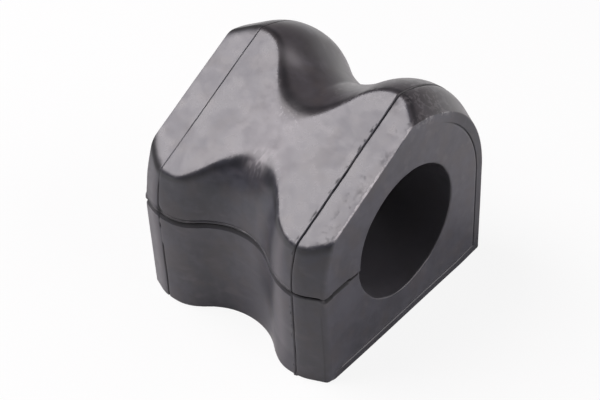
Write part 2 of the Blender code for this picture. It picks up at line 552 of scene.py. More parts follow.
lower_heights = -SLIT_DROP - SLIT_GAP / 2 - LOWER_HEIGHTS
upper_heights = -SLIT_DROP + SLIT_GAP / 2 + UPPER_HEIGHTS[::-1]
lower_turns = 180 - np.degrees(np.arcsin(lower_heights / REFERENCE_RADIUS))
upper_turns = 540 - np.degrees(np.arcsin(upper_heights / REFERENCE_RADIUS))
middle_turns = spread(lower_turns[-1], upper_turns[0])[1:-1]
turns = np.concatenate([lower_turns, middle_turns, upper_turns])
heights = REFERENCE_RADIUS * np.sin(np.radians(turns))
near_slit = fade(np.abs(heights), STRAIGHT_REACH, TURNING_REACH) * (np.cos(np.radians(turns)) < 0)
print(len(turns), "turns, of which", len(lower_turns) + len(upper_turns), "beside the slit")

# %% [markdown]
# Rubber skins are never quite true. A little unevenness makes a reflection waver the way it does on
# a real moulding, and the same kind of noise breaks up a line or a bead of flash. Blender has a
# Displace modifier for this, but its textures would be one more thing to look after. A lattice of
# seeded random values, read between its points with a smooth step, does the same in a few lines.

# %% Smooth noise
NOISE_SIDE = 64


def soft_noise(points, cell, seed):
    """Noise between -1 and 1 at points in millimetres. Random values sit on a lattice with the
    given cell, and each point blends its eight neighbours by smooth steps along each axis."""
    lattice = np.random.RandomState(seed).uniform(-1, 1, (NOISE_SIDE,) * 3)
    place = np.asarray(points) / cell + NOISE_SIDE / 2
    corner = np.floor(place).astype(int)
    step = place - corner
    step = step * step * (3 - 2 * step)
    total = 0.0
    for dx in (0, 1):
        for dy in (0, 1):
            for dz in (0, 1):
                share = np.ones(step.shape[:-1])
                for axis, offset in enumerate((dx, dy, dz)):
                    share = share * (step[..., axis] if offset else 1 - step[..., axis])
                index = np.mod(corner + (dx, dy, dz), NOISE_SIDE)
                total = total + share * lattice[index[..., 0], index[..., 1], index[..., 2]]
    return total


def layered_noise(points, layers):
    """Sum of noises, each given as its height, its cell and its seed."""
    return sum(height * soft_noise(points, cell, seed) for height, cell, seed in layers)


top_noise = float(soft_noise(np.array([0.0, 0.0, 45.0]), 6.0, 3))
print("noise at the middle of the top:", round(top_noise, 3))

# %% [markdown]
# The cross-section of the wall is a closed loop: out along the skin from end to end, round the edge
# and over the near end face, back through the bore, and over the far end face. Each row of the
# grid is one point of that loop, kept as its place along the bore, how far it is drawn in from the
# skin, its share of the way to the bore, and the way it faces. The last is what lets a groove, a
# rounded lip or a bead be carved later by one rule anywhere on the loop. The end faces get their
# rounded rim here, the border that falls back a little, and the fine groove beside it.
#
# The rim isn't the same all round: it is broad on the slit's side, sharp by the flat and almost
# gone at the base. So first come the stretches of the outline, each as a number for every turn.

# %% Stretches of the outline
# Turns between which one stretch of the outline gives way to the next.
SIDE_END = (222.5, 224.5)
SIDE_START = (506, 520)
SHARP_START = (384, 410)
WITNESS_START = (222.5, 226.5)
WITNESS_END = (402, 428)
BASE_START = (223, 225)
BASE_END = (308, 318)
BORE_CLOSED = (255, 285)

slit_side = fade(turns, *SIDE_END) + rise_between(turns, *SIDE_START)
sharp_side = rise_between(turns, *SHARP_START) * fade(turns, *SIDE_START)
witness = rise_between(turns, *WITNESS_START) * fade(turns, *WITNESS_END)
over_base = rise_between(turns, *BASE_START) * fade(turns, *BASE_END)
opened_bore = fade(turns, *BORE_CLOSED)
print("the slit's side takes up", round(100 * float(slit_side.mean()), 1), "% of the turns")

# %% [markdown]
# A row is one list of five values, each for every turn. The rows of one end are written down in
# order, from the skin over the rim to the middle of the bore. A bevel on the finished mesh would
# round every edge in the same way, and its width could not change along the edge.

# %% Rows of one end
RIM_RADIUS = 0.35
FLAT_RIM = 0.13
SLIT_SIDE_RIM = 0.8
BASE_RIM = 0.12
RIM_BENDS = np.radians([0, 18, 36, 54, 72, 90])
BORDER_FALL = 0.15
BORDER_PARTS = (0.12, 0.9)
BORDER_WIDTH = 2.1
BORDER_AT_BASE = 1.6

# The line beside the border: steps in from the border in mm, each with its share of the depth.
WITNESS_STEPS = ((0.0, 0.0), (0.08, 0.8), (0.16, 1.0), (0.24, 0.8), (0.34, 0.0))
WITNESS_DEPTH = 0.2
FACE_INSET = 2.7
FACE_SHARES = (0.0, 0.3, 0.56, 0.66, 0.97)
BORE_RIM = 0.3
BORE_BENDS = np.radians([0, 30, 60, 90])
ALONG = math.pi / 2
BORE_ROWS = np.array([22.8, 22.2, 21.3, 20.0, 18.0, 14.5, 11.0, 7.5, 4.0, 0.0])
BORE_RELIEF = 0.42
RELIEF_REACH = 3.0


def row(x, inset=0.0, share=0.0, bore=0.0, facing=0.0):
    """One row of the grid, with a value for each turn. Facing is an angle in radians: 0 outwards,
    a quarter turn along the bore and a half turn into it."""
    return [np.broadcast_to(value, turns.shape) for value in (x, inset, share, bore, facing)]


def end_rows():
    """Rows from the skin over one end face and into the bore, for the end at +X: a quarter circle
    at the rim, the border, its groove, the face, a quarter circle at the bore's edge, the bore."""
    rim = RIM_RADIUS + (SLIT_SIDE_RIM - RIM_RADIUS) * slit_side + (FLAT_RIM - RIM_RADIUS) * sharp_side
    rim = rim + (BASE_RIM - RIM_RADIUS) * over_base
    fall = BORDER_FALL * witness * (1 - over_base)
    border = BORDER_WIDTH - (BORDER_WIDTH - BORDER_AT_BASE) * over_base
    edge = HALF_LENGTH - fall
    rows = []
    for bend in RIM_BENDS:
        place = edge - rim + rim * math.sin(bend)
        rows.append(row(place, rim * (1 - math.cos(bend)), facing=bend))
    for part in BORDER_PARTS:
        rows.append(row(edge + fall * part, rim + (border - rim) * part, facing=ALONG))
    for offset, depth in WITNESS_STEPS:
        place = HALF_LENGTH - WITNESS_DEPTH * depth * witness
        rows.append(row(place, border + offset, facing=ALONG))
    opened = BORE_RIM + BORE_RELIEF * opened_bore
    for share in FACE_SHARES:
        rows.append(row(HALF_LENGTH, FACE_INSET, share, opened, ALONG))
    for bend in BORE_BENDS:
        place = HALF_LENGTH - BORE_RIM * (1 - math.cos(bend))
        widened = BORE_RIM * (1 - math.sin(bend)) + BORE_RELIEF * opened_bore
        rows.append(row(place, FACE_INSET, 1.0, widened, ALONG + bend))
    for x in BORE_ROWS:
        fading = rise_between(x, HALF_LENGTH - RELIEF_REACH, HALF_LENGTH)
        rows.append(row(x, FACE_INSET, 1.0, BORE_RELIEF * fading * opened_bore, math.pi))
    return rows


near_end = end_rows()
print("one end has", len(near_end), "rows")

# %% [markdown]
# Along the skin the rows stand close together beside the two mould lines, where the creases will
# be, and wider apart elsewhere. One even step that is fine enough for a crease would need more than
# four times as many faces. The far end is the near one mirrored, and with it the loop closes.

# %% Rows of the closed loop
OUTER_STEP = 0.55
NEAR_LINE = 17.1
FAR_LINE = 17.5
LINE_STEPS = np.array([-0.7, -0.4, -0.26, -0.17, -0.1, -0.04, 0.02, 0.08, 0.15, 0.24, 0.38, 0.6, 0.95])
LINE_CLEARANCE = 0.2
LAST_OUTER_ROW = 22.35


def outer_places(line):
    """Places from the middle to the last outer row, closer beside the mould line."""
    plain = np.append(np.arange(0, LAST_OUTER_ROW, OUTER_STEP), LAST_OUTER_ROW)
    before = plain < line + LINE_STEPS[0] - LINE_CLEARANCE
    after = plain > line + LINE_STEPS[-1] + LINE_CLEARANCE
    return np.sort(np.concatenate([plain[before | after], line + LINE_STEPS]))


def mirrored(rows):
    """The same rows at the other end, in the order that closes the loop."""
    return [[-values[0], *values[1:]] for values in reversed(rows)]


outer = [row(-x) for x in outer_places(FAR_LINE)[:0:-1]] + [row(x) for x in outer_places(NEAR_LINE)]
loop = outer + near_end + mirrored(near_end[:-1])
x_rows, inset_rows, share_rows, bore_rows, facing_rows = (np.array(part) for part in zip(*loop))
print(len(loop), "rows, of which", len(outer), "on the skin between the ends")

# %% [markdown]
# The slit runs from the bore to the side. It was cut by a blade, and wanders by up to a millimetre
# along the block. On the near end face it starts low at the edge and soon steps up. A table of
# heights along the block gives the path, and an average over a short reach takes the corners off
# it. Lines of the grid beside the slit are turned to keep their height above it in every row, so
# that the lips, the bead and the creases all follow the same path.

# %% Turns in every row
SLIT_PATH = {
    -23.4: 0.1, -21.0: 0.6, -19.5: 0.95, -17.5: 0.8, -15.0: 0.35, -12.0: 0.2, -9.0: 0.6,
    -4.0: 0.85, 2.0: 0.85, 7.0: 0.45, 12.0: 0.2, 16.0: 0.0, 18.5: 0.1, 21.0: 0.2, 23.4: 0.2,
}
PATH_REACH = 1.5
PATH_READINGS = 7
EDGE_DROP_START = 1.2
EDGE_DROP_END = 0.2
SLIT_DROP_AT_EDGE = 0.46
SLIT_STEP = 0.22
STEP_INSET = (1.95, 2.45)
SLIT_LIFT_AT_BORE = 0.07


def slit_path(x):
    """Height of the slit over its mean: the table read at places around x, and averaged."""
    around = np.linspace(-PATH_REACH, PATH_REACH, PATH_READINGS)
    return sum(read_table(SLIT_PATH, x + step) for step in around) / len(around)


at_near_edge = rise_between(x_rows, HALF_LENGTH - EDGE_DROP_START, HALF_LENGTH - EDGE_DROP_END)
drop = SLIT_DROP_AT_EDGE - SLIT_STEP * rise_between(inset_rows, *STEP_INSET)
path_outside = slit_path(x_rows) - at_near_edge * drop
path_inside = SLIT_LIFT_AT_BORE * rise_between(x_rows, 0, HALF_LENGTH)
slit_shift = (1 - share_rows) * path_outside + share_rows * path_inside

nominal_radius = (1 - share_rows) * (side_radius(x_rows) - inset_rows) + share_rows * BORE_RADIUS
level_turns = np.degrees(np.arcsin(np.clip((heights + slit_shift) / nominal_radius, -1, 1)))
level_turns = np.where(turns < 360, 180 - level_turns, 540 - level_turns)
turn_rows = turns + near_slit * (level_turns - turns)
print("slit wanders over", round(float(slit_shift.max() - slit_shift.min()), 2), "mm")

# %% [markdown]
# Next come the marks that tell a moulding from a model. They could be modelled by hand as cuts and
# ridges, but each would then have to be fitted to the curved skin. Here each mark is a depth below
# the skin as a formula of place, so they simply add up. For that, every point of the grid gets a
# rough place from the bore axis, its height above or below the slit's lip, and a few stretches in
# which a mark holds: beside the slit, over the near dome, past a mould line, on an end face.

# %% Places and stretches on the grid
BELOW_SLIT = 190
ABOVE_SLIT = 500
SIDE_FOOT = 224
BEAD_STOPS = (0.35, 0.05)
FLAT_CUTS = (-0.1, 0.25)

angle_rows = np.radians(turn_rows)
rough_radius = (1 - share_rows) * skin_radius(x_rows, turn_rows, inset_rows) + share_rows * BORE_RADIUS
sideways = rough_radius * np.cos(angle_rows)
level = rough_radius * np.sin(angle_rows)
rough_points = np.stack([x_rows, sideways, level], axis=-1)
only_along = rough_points * (1, 0, 0)
far_off = np.full(len(middle_turns), TURNING_REACH)
from_lip = np.concatenate([LOWER_HEIGHTS, far_off, UPPER_HEIGHTS[::-1]])

below_slit = turns < BELOW_SLIT
above_slit = turns > ABOVE_SLIT
on_near_dome = rise_between(turns, 395, 405) * fade(turns, 438, 446)
with_bead = fade(x_rows, NEAR_LINE - BEAD_STOPS[0], NEAR_LINE - BEAD_STOPS[1])
past_far_line = rise_between(-x_rows, FAR_LINE - 0.2, FAR_LINE + 0.5)
past_line = rise_between(-x_rows, FAR_LINE, FAR_LINE + 0.8)
on_near_face = (x_rows > 0) * np.sin(facing_rows).clip(0, 1) * (share_rows < 1)
on_skin = np.cos(facing_rows).clip(0, 1)


def flat_cut():
    """How far the flat cuts into the round body, in mm, and less than 0 outside the flat: the
    body's distance from the axis less the flat's."""
    body = side_radius(x_rows) + fullness(x_rows, turn_rows) + shoulder(x_rows, turn_rows)
    return body - FLAT_DISTANCE / towards_flat(turn_rows)


cut = flat_cut()
flat_share = rise_between(cut, *FLAT_CUTS)
print("the flat takes up", round(100 * float((flat_share * on_skin).mean()), 1), "% of the points")

# %% [markdown]
# Where the slit opens on the side, its lower lip falls back as a narrow bank, and both lips are
# slightly rounded, as a blade leaves them in rubber. On the near end face the mouth is widest at
# the edge and closes before it reaches the bore. A bevel would give every lip the same width. A
# bank has a depth, a reach and a power that says how hollow it is, so each lip gets its own.

# %% Slit's mouth
LIP_RADIUS = 0.12

# Each bank's depth and reach in mm, and its power.
LOWER_BANK = (0.34, 0.94, 0.5)
UPPER_BANK = (0.30, 0.26, 1.5)
PLAIN_BANK = (0.30, 0.42, 1.5)
FACE_BANK = (0.5, 0.55, 1.2)

# Shares of the way to the bore between which the face's bank dies away.
FACE_BANK_END = (0.54, 0.68)


def lip_rounding():
    """Depth that rounds the slit's lips: a quarter circle over the distance from the lip."""
    return LIP_RADIUS - np.sqrt(LIP_RADIUS ** 2 - np.maximum(LIP_RADIUS - from_lip, 0) ** 2)


def bank_depth(depth, reach, power):
    """Depth beside the slit: its greatest depth times a power of the share of its reach left."""
    return depth * np.maximum(1 - from_lip / reach, 0) ** power


def mouth_depth():
    """The slit's mouth: one bank on each lip, narrow and even past the near line."""
    with_flash = bank_depth(*LOWER_BANK) * below_slit + bank_depth(*UPPER_BANK) * above_slit
    return with_flash * with_bead + bank_depth(*PLAIN_BANK) * (1 - with_bead)


def face_mouth_depth():
    """The slit's mouth on the near end face, which closes up before the bore."""
    return bank_depth(*FACE_BANK) * on_near_face * fade(share_rows, *FACE_BANK_END)


print("the mouth is up to", round(float(mouth_depth().max()), 2), "mm deep on the side")

# %% [markdown]
# Where the mould's plates met, a thin line runs round each crest: deep and sharp at the near end
# with a soft bank on its outer side, faint and broken at the far end. Noise makes both lines
# wander a little and breaks the far one up, because a line that is straight and even looks drawn.

# %% Mould lines
CREASE_DEPTH = 0.28
CREASE_WIDTH = 0.10
CREASE_WIDENING = 0.05
BANK_DEPTH = 0.08
BANK_REACH = 0.4
RIM_RISE = 0.03
RIM_OFFSET = 0.3
RIM_WIDTH = 0.12
LINE_NUB_RISE = 0.4
LINE_NUB_WIDTH = 0.3
FAR_WIDTH = 0.07
FAR_LINE_DEPTHS = (0.04, 0.12)
FAR_STRENGTH = {
    -23.0: 1.0, -8.2: 1.0, -7.4: 0.0, -4.6: 0.0, -4.2: 1.0, 0.4: 1.0, 7.0: 0.9, 8.6: 0.12, 14.0: 0.15,
}
DOTTED_LEVELS = (-4.4, -0.4)

# Layers of noise, each as height in mm, cell in mm and seed.
LINE_WOBBLE = ((0.06, 5.0, 21), (0.035, 1.3, 23))


def near_line_depth():
    """A bell-shaped crease with a bank that dies away on its outer side and a slight rim inside. At
    the base it ends in a nub that stands out."""
    offset = x_rows - NEAR_LINE - layered_noise(rough_points, LINE_WOBBLE)
    uneven = 1 + 0.4 * soft_noise(rough_points, 2.2, 22)
    width = CREASE_WIDTH + CREASE_WIDENING * ((turns < SIDE_FOOT) + on_near_dome)
    crease = CREASE_DEPTH * uneven * bell(offset, width)
    bank = BANK_DEPTH * np.exp(-np.maximum(offset, 0) / BANK_REACH) * (offset > 0)
    rim = RIM_RISE * bell(offset + RIM_OFFSET, RIM_WIDTH)
    at_base = rise_between(-level, AXIS_HEIGHT - 0.9, AXIS_HEIGHT - 0.5) * (turns < 240)
    nub = LINE_NUB_RISE * bell(offset, LINE_NUB_WIDTH) * at_base
    return (crease + bank - rim - nub) * (x_rows > 0)


def far_line_strength():
    """How clear the far line is. On the slit's side it follows a table of heights, with a stretch
    of dots just below the slit. On the flat and the dome it fades in and out by noise."""
    by_height = read_table(FAR_STRENGTH, level)
    dotted = (level > DOTTED_LEVELS[0]) & (level < DOTTED_LEVELS[1])
    dots = rise_between(soft_noise(rough_points * (0, 0, 1), 0.8, 32), -0.1, 0.15)
    by_height = np.where(dotted, by_height * dots, by_height)
    patchy = 0.2 + 0.5 * rise_between(soft_noise(rough_points, 5.0, 33), -0.25, 0.25)
    on_side = slit_side * (1 - flat_share)
    return by_height * on_side + patchy * (1 - on_side)


def far_line_place():
    """Distance from the far line's middle, in its own widths. Just above the slit it widens."""
    wobble = 0.05 * soft_noise(rough_points, 4.0, 31)
    closeness = fade(level, 0.8, 3.0) * (level > 0) * slit_side
    widening = 0.7 * closeness ** 1.5 + 0.1 * slit_side * (1 - flat_share)
    return (x_rows + FAR_LINE + wobble - 0.4 * closeness) / (FAR_WIDTH + widening)


far_strength = far_line_strength()
far_depth = FAR_LINE_DEPTHS[0] + FAR_LINE_DEPTHS[1] * far_strength
far_depth = far_depth * bell(far_line_place(), 1.0) * (x_rows < 0)
print("the far line is up to", round(float(far_depth.max()), 2), "mm deep")

# %% [markdown]
# Along the slit's upper lip, from the far end to the near line, the rubber squeezed out into a thin
# bead of flash with a fine crease above it. A tube along the slit would look laid on, so the bead is
# a swelling of the skin itself. With it all marks are there, and they add up to one depth for every
# point, together with a slight unevenness of the whole skin. The base stays flat.

# %% Bead of flash and all marks together
BEAD_RISE = 0.07
BEAD_MIDDLE = 0.46
BEAD_HALF = 0.21
BEAD_CREASE = 0.76
BEAD_CREASE_DEPTH = 0.2
BEAD_CREASE_WIDTH = 0.1
END_BEAD_MIDDLE = 0.6
END_BEAD_HALF = 0.6
NUB_RISE = 0.14
CORNER_DEPTH = 0.08
UNEVENNESS = ((0.035, 9.0, 11), (0.012, 3.5, 12))


def bead_depth():
    """Minus the height of the bead on the upper lip, a half ellipse, and the crease above it. Past
    the far line the bead is a wider, squarer band, and it ends in a nub at the far end."""
    flecks = 1 + 0.45 * soft_noise(only_along, 1.1, 41) + 0.25 * soft_noise(rough_points, 0.5, 42)
    nub = NUB_RISE * rise_between(-x_rows, HALF_LENGTH - 1.1, HALF_LENGTH - 0.6)
    middle = BEAD_MIDDLE + (END_BEAD_MIDDLE - BEAD_MIDDLE) * past_far_line
    half = BEAD_HALF + (END_BEAD_HALF - BEAD_HALF) * past_far_line
    from_middle = np.minimum(np.abs(from_lip - middle) / half, 1)
    bead = (BEAD_RISE * flecks + nub) * (1 - from_middle ** 2) ** (0.5 - 0.25 * past_far_line)
    crease = BEAD_CREASE_DEPTH * bell(from_lip - BEAD_CREASE, BEAD_CREASE_WIDTH)
    return (crease * (1 - past_far_line) - bead) * with_bead * above_slit


corner_depth = CORNER_DEPTH * bell(cut + 0.1, 0.35) * past_line
on_skin_depth = mouth_depth() + near_line_depth() + far_depth + corner_depth + bead_depth()
sink = lip_rounding() + face_mouth_depth() + on_skin_depth * on_skin
sink = sink + layered_noise(rough_points, UNEVENNESS) * (1 - over_base)
deepest = round(float(sink.max()), 2)
print("marks reach from", round(float(sink.min()), 2), "to", deepest, "mm below the skin")

# %% [markdown]
# The finish needs to know where it is. The slit, the mould lines and the grooves get painted shade, a
# darker colour in place of the shade that falls in them, and the sides are painted a little darker in
# places. Those places are the same formulas of place that shaped the marks, so they are worked out
# here, on the same grid, and stored on the mesh as one number for each point. A painted picture would
# do this too, but would need an image file.

# %% Where shade is painted
# Painted shade on the bead, by place along the block: its share of the way to the dark grey.
BEAD_SHADE = {-23.4: 0.62, -18.0: 0.6, -16.5: 0.55, -4.0: 0.6, 1.0: 0.65, 17.0: 0.75}


def largest(*amounts):
    """The largest of several amounts, point by point."""
    return reduce(np.maximum, amounts)


def slit_dirt():
    """Painted shade: 1 in the slit and less on its banks. Above it come the bead, dull at its far end,
    the crease over the bead, which comes and goes, and a faint band over the crease."""
    towards_lip = np.maximum(1 - from_lip / LOWER_BANK[1], 0) ** 1.2
    bank = fade(from_lip, 0.84, 0.98) * (0.62 + 0.38 * towards_lip) * below_slit
    bead = read_table(BEAD_SHADE, x_rows) * bell(from_lip - BEAD_MIDDLE, 0.2 + 0.4 * past_far_line)
    comes_and_goes = 0.75 + 0.5 * soft_noise(only_along, 3.0, 44)
    crease = comes_and_goes * bell(from_lip - BEAD_CREASE, 0.12) * (1 - 0.6 * past_far_line)
    faint = 0.12 * fade(from_lip, 1.1, 2.0)
    above = largest(fade(from_lip, 0.12, 0.32), bead, crease, faint) * above_slit
    plain = 0.85 * fade(from_lip, 0.06, 0.5)
    return ((bank + above) * with_bead + plain * (1 - with_bead)) * on_skin


def face_dirt():
    """Painted shade in the slit's mouth on the near end face, along the border's lower side, and in
    its line and strip on the right."""
    reach = 0.72 - 0.44 * rise_between(share_rows, *FACE_BANK_END)
    mouth = fade(from_lip / reach, 0.5, 1.0)
    border = 0.22 * over_base * fade(inset_rows, BORDER_AT_BASE - 0.05, BORDER_AT_BASE + 0.05)
    groove = 0.5 * bell(inset_rows - BORDER_WIDTH - WITNESS_STEPS[2][0], 0.12)
    strip = 0.4 * fade(inset_rows, BORDER_WIDTH - 0.05, BORDER_WIDTH + 0.05)
    beside = (groove + strip) * witness * (1 - over_base)
    return np.minimum(mouth + border + beside, 1) * on_near_face


def line_dirt():
    """Painted shade in the two mould lines, each a bell around its place. The near one is duller below
    the slit.
    """
    low_down = rise_between(-level, 1.0, 3.0) * (turns < 240)
    width = 0.11 + 0.05 * low_down + 0.07 * on_near_dome
    near = (0.85 - 0.35 * low_down) * bell(x_rows - NEAR_LINE, width)
    far = far_strength * bell(far_line_place(), 1.3) * (x_rows < 0)
    return np.maximum(near, far) * on_skin


def far_corner_dirt():
    """Painted shade in the groove that edges the flat past the far line: a bell just outside the flat.
    """
    return bell(cut + 0.15, 0.75) * past_line * on_skin


def side_shade():
    """Slightly darker places on the slit's side: past the near line, high up before the waist, and
    a thin line down the near corner."""
    past_near = 0.28 * rise_between(x_rows, NEAR_LINE, NEAR_LINE + 0.8) * slit_side
    high_up = 0.14 * rise_between(turns, 505, 512) * rise_between(-x_rows, 1, 5)
    corner = 0.5 * bell(x_rows - HALF_LENGTH + SLIT_SIDE_RIM, 0.15)
    corner = corner * rise_between(turns, 186, 195) * (turns < BASE_START[0])
    return np.maximum(np.maximum(past_near, high_up) * (1 - flat_share) * on_skin, corner)


# Painted shade in the slit, the mould lines and the end face's grooves, with the darker places of the
# sides.
dirt_places = largest(slit_dirt(), face_dirt(), line_dirt(), far_corner_dirt(), side_shade())
print("dirt covers", round(100 * float(dirt_places.mean()), 1), "% of the points")

# %% [markdown]
# Wear is the other way round: what stands out is rubbed pale. The bead's crown, the waist and the near
# rim are found from the same places. The crests on the slit's side get a painted highlight, a paler
# colour in place of the light that they catch. A few spots that follow no edge, such as a smear at the
# waist or a thumb's smudge by the near edge, are soft bells in three directions, and so is a painted
# highlight on the dome beside the flat. They are few, so a short table of them is easier to change
# than any rule would be.

# %% Where the finish is worn, and painted highlights
RUB_REACH = 6.0

# Soft spots: the place of each from the bore axis, and its width along each direction.
PALE_SMUDGES = (((-1.0, -15.5, 14.5), (2.2, 2.0, 2.4)), ((22.4, -3.2, 21.8), (0.9, 2.6, 2.2)))
WAIST_SMEAR = (((-0.4, -15.0, 15.0), (2.0, 2.2, 2.2)),)
# A painted highlight on the dome beside the flat, as one more soft spot.
DOME_HIGHLIGHT = (((-8.6, 4.6, 23.9), (2.9, 1.8, 2.4)),)
DARK_SMUDGES = (
    ((17.7, 3.7, 25.6), (0.8, 0.9, 1.0)),
    ((22.4, -5.2, 20.8), (0.9, 1.8, 1.6)),
    ((21.9, -12.0, 17.0), (0.9, 2.6, 2.2)),
)


def bead_rub():
    """Pale specks on the crown of the bead, where a noise that varies along the block is high."""
    specks = rise_between(soft_noise(only_along, 0.8, 43), 0.35, 0.6)
    return specks * bell(from_lip - BEAD_MIDDLE - 0.1, 0.2) * above_slit * with_bead * on_skin


def smudges(places):
    """Soft spots on the skin, each a bell in three directions around its place."""
    amount = np.zeros_like(rough_radius)
    for spot, widths in places:
        away = (rough_points - np.array(spot)) / widths
        amount = np.maximum(amount, np.exp(-(away ** 2).sum(axis=-1)))
    return amount * on_skin


def crest_highlight():
    """Painted highlight on the crests of the slit's side, slightly pale: a bell for each along the
    block.
    """
    crests = 0.7 * bell(x_rows + 19.2, 1.4) + bell(x_rows - 13.2, 1.3)
    return crests * (fade(turns, 212, 224) + rise_between(turns, 512, 520)) * on_skin


def near_rim():
    """The near end face's rounded rim where the dome is, most where it faces half along the bore."""
    rim = bell(facing_rows - 0.9, 0.7) * (x_rows > 0) * fade(inset_rows, 0.3, 0.6)
    return rim * rise_between(turns, 410, 418) * fade(turns, 440, 448)


pale_rub_and_highlight = bell(x_rows, RUB_REACH) * flat_share * on_skin
on_dome = rise_between(turns, 380, 400) * fade(turns, 480, 500) * (1 - flat_share)
in_bore = share_rows * (1 - on_near_face) * (np.abs(x_rows) < HALF_LENGTH - 0.01)
# Painted shade in a band just outside the flat, less where the waist's smear lies.
shade_beside_flat = bell(cut + 0.75, 0.6) * (turns > 400) * (1 - smudges(WAIST_SMEAR))
finish_places = {
    "dirt": dirt_places,
    "bead_rub": bead_rub(),
    "flat": flat_share,
    "skin": on_skin,
    # Pale wear, with a painted highlight on the crests.
    "pale_rub_and_highlight": largest(pale_rub_and_highlight, smudges(PALE_SMUDGES), crest_highlight()),
    "dark_smudge": smudges(DARK_SMUDGES),
    "waist_smear": smudges(WAIST_SMEAR),
    # A painted highlight on the dome.
    "dome_highlight": smudges(DOME_HIGHLIGHT),
    "dome": on_dome * on_skin,
    "near_rim": near_rim(),
    "flat_bounds": bell(cut - 0.12, 0.3) * on_skin,
    # Painted shade beside the flat.
    "shade_beside_flat": shade_beside_flat * on_skin,
    "bore": in_bore,
}
for name, amount in finish_places.items():
    print(name, "covers", round(100 * float(amount.mean()), 1), "% of the points")

# %% [markdown]
# With the depths known, every point is moved in along the way its row faces. The near end face was
# cut a little out of square, so its low corner on the slit's side leans out by 0.4 mm, and the
# bore's edge is slightly rough, as it is where a core was pulled. Only now does the axis get its
# height above the base, which is kept from dipping below the table.

# %% Points moved by the marks
BORE_WAVES = ((0.09, 1.7, 13),)
FACE_LEAN = 0.4

inset_all = inset_rows + sink * on_skin
near_mouth = rise_between(np.abs(x_rows), 20.0, 23.0)
bore_wave = layered_noise(rough_points, BORE_WAVES) * near_mouth * rise_between(from_lip, 0.3, 1.5)
bore_all = bore_rows + sink * (-np.cos(facing_rows)).clip(0, 1) + bore_wave
low_corner = rise_between(-sideways, -20, 20) * rise_between(-level, 2, 18)
lean = FACE_LEAN * low_corner * rise_between(x_rows, 19, HALF_LENGTH)
x_all = x_rows + lean - np.sign(x_rows) * sink * np.sin(facing_rows)
outer_radius = skin_radius(x_rows, turn_rows, inset_all)
radius_all = (1 - share_rows) * outer_radius + share_rows * (BORE_RADIUS + bore_all)
y_all = radius_all * np.cos(angle_rows)
z_all = np.maximum(AXIS_HEIGHT + radius_all * np.sin(angle_rows), 0.0)
points = np.stack([x_all, y_all, z_all], axis=-1)
row_count, turn_count = x_all.shape
print("grid of", row_count, "rows by", turn_count, "turns, up to z", round(float(z_all.max()), 2))

# %% [markdown]
# The grid becomes a mesh. The skin, the two end faces and the bore are one sheet of quads that
# closes on itself along the profile. It stays open at the slit, where the two lips are filled with
# the same triangles, so that they lie side by side and never cross. The result is one closed solid,
# like the rubber. The volume inside comes out positive only if the faces point outwards, so it is
# printed as a check.

# %% Mesh
def quads():
    """Corners of each quad: a row, the next row round the loop, a turn and the next turn."""
    index = np.arange(row_count * turn_count).reshape(row_count, turn_count)
    after = np.roll(index, -1, axis=0)
    corners = (index[:, :-1], index[:, 1:], after[:, 1:], after[:, :-1])
    return np.stack(corners, axis=-1).reshape(-1, 4)


def lip_triangles():
    """Triangles over the flat loop of the profile, as row numbers. In rising order they turn the
    same way as the loop. For this the bore is bowed out, so that no triangle is made of points of
    the bore alone, which would be a sliver."""
    bow = share_rows[:, 0] * (1 - (x_all[:, 0] / (HALF_LENGTH + 1)) ** 2)
    flat_loop = [Vector((x, r, 0)) for x, r in zip(x_all[:, 0], radius_all[:, 0] + bow)]
    return np.sort(tessellate_polygon([flat_loop]), axis=1)


def volume_inside(corners, triangles):
    """Volume, positive when the faces point out: a sixth of the sum over the triangles of one
    corner times the cross product of the other two."""
    a, b, c = (corners[triangles[:, i]] for i in range(3))
    return float(np.einsum("ij,ij->i", a, np.cross(b, c)).sum()) / 6


corners = points.reshape(-1, 3)
skin_quads = quads()
lips = lip_triangles()
lower_lip = lips * turn_count
upper_lip = lips[:, ::-1] * turn_count + turn_count - 1
halves = (skin_quads[:, [0, 1, 2]], skin_quads[:, [0, 2, 3]])
triangles = np.concatenate([*halves, lower_lip, upper_lip])
faces = skin_quads.tolist() + lower_lip.tolist() + upper_lip.tolist()

mesh = bpy.data.meshes.new("bushing_rubber")
mesh.from_pydata((corners * MM).tolist(), [], faces)
mesh.shade_smooth()
for name, amount in finish_places.items():
    values = np.ravel(amount).astype(np.float32)
    mesh.attributes.new(name, "FLOAT", "POINT").data.foreach_set("value", values)
bushing = bpy.data.objects.new("bushing_rubber", mesh)
scene.collection.objects.link(bushing)
volume = volume_inside(corners, triangles) / 1000
print(len(triangles), "triangles, volume inside:", round(volume, 2), "cm3")

# %% [markdown]
# The block is one moulding, so one finish covers it: a dark, faintly purple grey with a dull sheen.
# Rubber is never one flat colour. It blooms into soft patches a few millimetres wide, it picks up
# scuffs and streaks, and its edges wear. So the colour starts from two greys and is then pulled paler
# or darker by the places stored on the mesh, each broken up by noise. Some of these places are painted
# light: shade painted into the slit, the lines and the grooves, and highlights painted onto the crests
# and the dome. The patches change the roughness too. They show most on the flat, which mirrors the big
# softbox, and are held back on the end faces and in the bore. A fine grain gives the bump.

# %% Colour of the rubber
DARK_GREY = (0.037, 0.038, 0.048, 1.0)
LIGHT_GREY = (0.058, 0.059, 0.074, 1.0)
WARM_GREY = (0.062, 0.053, 0.052, 1.0)
# Dark grey for painted shade, and for dirt.
SHADE_AND_DIRT_GREY = (0.006, 0.006, 0.008, 1.0)
# Pale grey for wear, and for a painted highlight on the dome.
PALE_WEAR_AND_HIGHLIGHT_GREY = (0.30, 0.29, 0.30, 1.0)
# Pale grey for rubbing and streaks, and for a painted highlight on the crests.
RUBBED_AND_HIGHLIGHT_GREY = (0.105, 0.098, 0.112, 1.0)
BORE_GREY = (0.068, 0.066, 0.073, 1.0)

